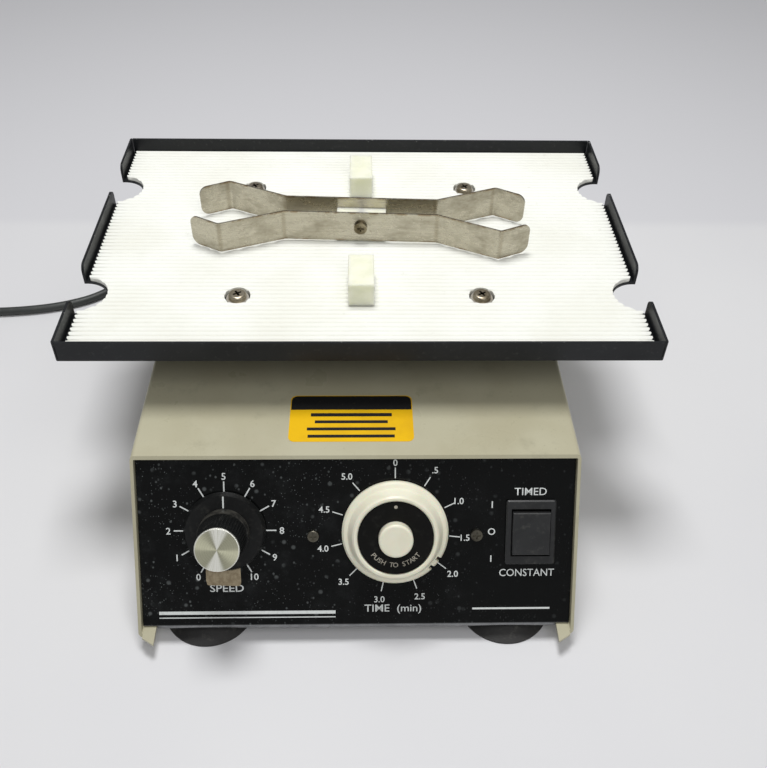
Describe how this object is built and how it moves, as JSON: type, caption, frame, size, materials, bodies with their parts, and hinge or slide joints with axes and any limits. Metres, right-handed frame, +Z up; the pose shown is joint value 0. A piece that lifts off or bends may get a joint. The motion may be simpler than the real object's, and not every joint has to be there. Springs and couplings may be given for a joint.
{
  "type": "orbital shaker",
  "caption": "Benchtop orbital shaker: a rimmed, rubber-lined tray with a spring clip for microplates circles on an eccentric drive above a sloped-front housing with speed and timer controls.",
  "frame": {"origin": "on the bench, under the middle of the object's box without the power cord", "axes": "+X to the right, +Y to the rear, away from the control panel, +Z up"},
  "size_m": [0.4863, 0.3672, 0.128],
  "materials": {
    "cover_paint": "satin enamel",
    "chassis_paint": "satin enamel",
    "panel_black": "gloss print",
    "tray_black": "satin powder coat",
    "mat_rubber": "matte",
    "spring_steel": "stained stainless",
    "screw_steel": "zinc plated",
    "nylon": "natural, slightly translucent",
    "black_rubber": "matte",
    "plate_aluminium": "milled",
    "knob_aluminium": "spun",
    "shaft_steel": "ground",
    "bearing_steel": "polished",
    "knob_black": "satin",
    "timer_cream": "semi-gloss",
    "timer_black": "satin",
    "motor_paint": "satin",
    "board_green": "solder mask",
    "switch_black": "moulded",
    "cord_grey": "matte jacket",
    "blade_brass": "plain"
  },
  "bodies": {
    "base": {"cover": "cover_paint", "hole_grommets": "black_rubber", "chassis": "chassis_paint", "cover_screws": "screw_steel", "front_panel": "panel_black", "panel_screws": "screw_steel", "suction_foot_1": "black_rubber", "suction_foot_2": "black_rubber", "suction_foot_3": "black_rubber", "suction_foot_4": "black_rubber", "foot_nuts": "screw_steel", "deck": "plate_aluminium", "deck_standoffs": "shaft_steel", "deck_screws": "screw_steel", "spindle_housing": "plate_aluminium", "spindle_bearings": "bearing_steel", "idler_bearings": "bearing_steel", "drive_belt": "black_rubber", "motor_bracket": "plate_aluminium", "motor_body": "motor_paint", "speed_pot": "shaft_steel", "timer_body": "motor_paint", "switch_housing": "switch_black", "fuse_holder": "knob_black", "circuit_board": "board_green", "strain_relief": "black_rubber", "power_cord": "cord_grey", "cord_coil": "cord_grey", "plug_body": "cord_grey", "plug_blades": "blade_brass"},
    "spindle": {"drive_spindle": "shaft_steel", "counterweight": "shaft_steel", "drive_pulley": "plate_aluminium"},
    "rotor": {"motor_shaft": "shaft_steel", "motor_pulley": "plate_aluminium"},
    "crank_1": {"idler_crank_1": "shaft_steel"},
    "crank_2": {"idler_crank_2": "shaft_steel"},
    "crank_3": {"idler_crank_3": "shaft_steel"},
    "crank_4": {"idler_crank_4": "shaft_steel"},
    "platform": {"drive_plate": "plate_aluminium", "plate_bearings": "bearing_steel", "platform_posts": "shaft_steel", "tray": "tray_black", "ribbed_mat": "mat_rubber", "tray_washers": "screw_steel", "tray_screws": "screw_steel", "stop_block_front": "nylon", "stop_block_rear": "nylon"},
    "clip": {"clip_strap_front": "spring_steel", "clip_strap_rear": "spring_steel", "clip_spacer": "nylon", "clip_screw": "screw_steel"},
    "speed_knob": {"pot_shaft": "shaft_steel", "speed_knob_skirt": "knob_black", "speed_knob_body": "knob_black", "speed_knob_cap": "knob_aluminium"},
    "setting_ring": {"timer_ring": "timer_cream"},
    "progress_disc": {"timer_disc": "timer_black"},
    "start_button": {"timer_button": "timer_cream"},
    "rocker": {"switch_rocker": "switch_black"}
  },
  "joints": [
    {"name": "drive_spin", "type": "hinge", "parent": "base", "child": "spindle", "pos_m": [-0.0025, 0.04362, 0.05], "axis": [0, 0, 1], "continuous": true},
    {"name": "platform_orbit", "type": "hinge", "parent": "spindle", "child": "platform", "pos_m": [-0.001, 0.04362, 0.0645], "axis": [0, 0, 1], "continuous": true},
    {"name": "motor_spin", "type": "hinge", "parent": "base", "child": "rotor", "pos_m": [-0.03, -0.04, 0.04], "axis": [0, 0, 1], "continuous": true},
    {"name": "crank_1_spin", "type": "hinge", "parent": "base", "child": "crank_1", "pos_m": [-0.0745, 0.00762, 0.048], "axis": [0, 0, 1], "continuous": true},
    {"name": "crank_2_spin", "type": "hinge", "parent": "base", "child": "crank_2", "pos_m": [0.0695, 0.00762, 0.048], "axis": [0, 0, 1], "continuous": true},
    {"name": "crank_3_spin", "type": "hinge", "parent": "base", "child": "crank_3", "pos_m": [-0.0745, 0.07963, 0.048], "axis": [0, 0, 1], "continuous": true},
    {"name": "crank_4_spin", "type": "hinge", "parent": "base", "child": "crank_4", "pos_m": [0.0695, 0.07963, 0.048], "axis": [0, 0, 1], "continuous": true},
    {"name": "clip_swivel", "type": "hinge", "parent": "platform", "child": "clip", "pos_m": [-0.0004, 0.04682, 0.115], "axis": [0, 0, 1], "range_deg": [-12, 12]},
    {"name": "speed_turn", "type": "hinge", "parent": "base", "child": "speed_knob", "pos_m": [-0.0629, -0.10458, 0.04968], "axis": [0, -0.8443, 0.5358], "range_deg": [-150, 150]},
    {"name": "timer_set", "type": "hinge", "parent": "base", "child": "setting_ring", "pos_m": [0.0149, -0.1049, 0.04917], "axis": [0, -0.8443, 0.5358], "range_deg": [-192, 128]},
    {"name": "timer_progress", "type": "hinge", "parent": "base", "child": "progress_disc", "pos_m": [0.0149, -0.1049, 0.04917], "axis": [0, -0.8443, 0.5358], "range_deg": [-320, 0]},
    {"name": "start_push", "type": "slide", "parent": "base", "child": "start_button", "axis": [0, 0.8443, -0.5358], "range_m": [0, 0.003], "stiffness_N_per_m": 400, "springref_m": -0.001},
    {"name": "rocker_tilt", "type": "hinge", "parent": "base", "child": "rocker", "pos_m": [0.0774, -0.10274, 0.04698], "axis": [1, 0, 0], "range_deg": [-10, 10]}
  ],
  "couplings": [
    {"joint": "platform_orbit", "follows": "drive_spin", "ratio": -1},
    {"joint": "motor_spin", "follows": "drive_spin", "ratio": 3.5974},
    {"joint": "crank_1_spin", "follows": "drive_spin", "ratio": 1},
    {"joint": "crank_2_spin", "follows": "drive_spin", "ratio": 1},
    {"joint": "crank_3_spin", "follows": "drive_spin", "ratio": 1},
    {"joint": "crank_4_spin", "follows": "drive_spin", "ratio": 1}
  ]
}
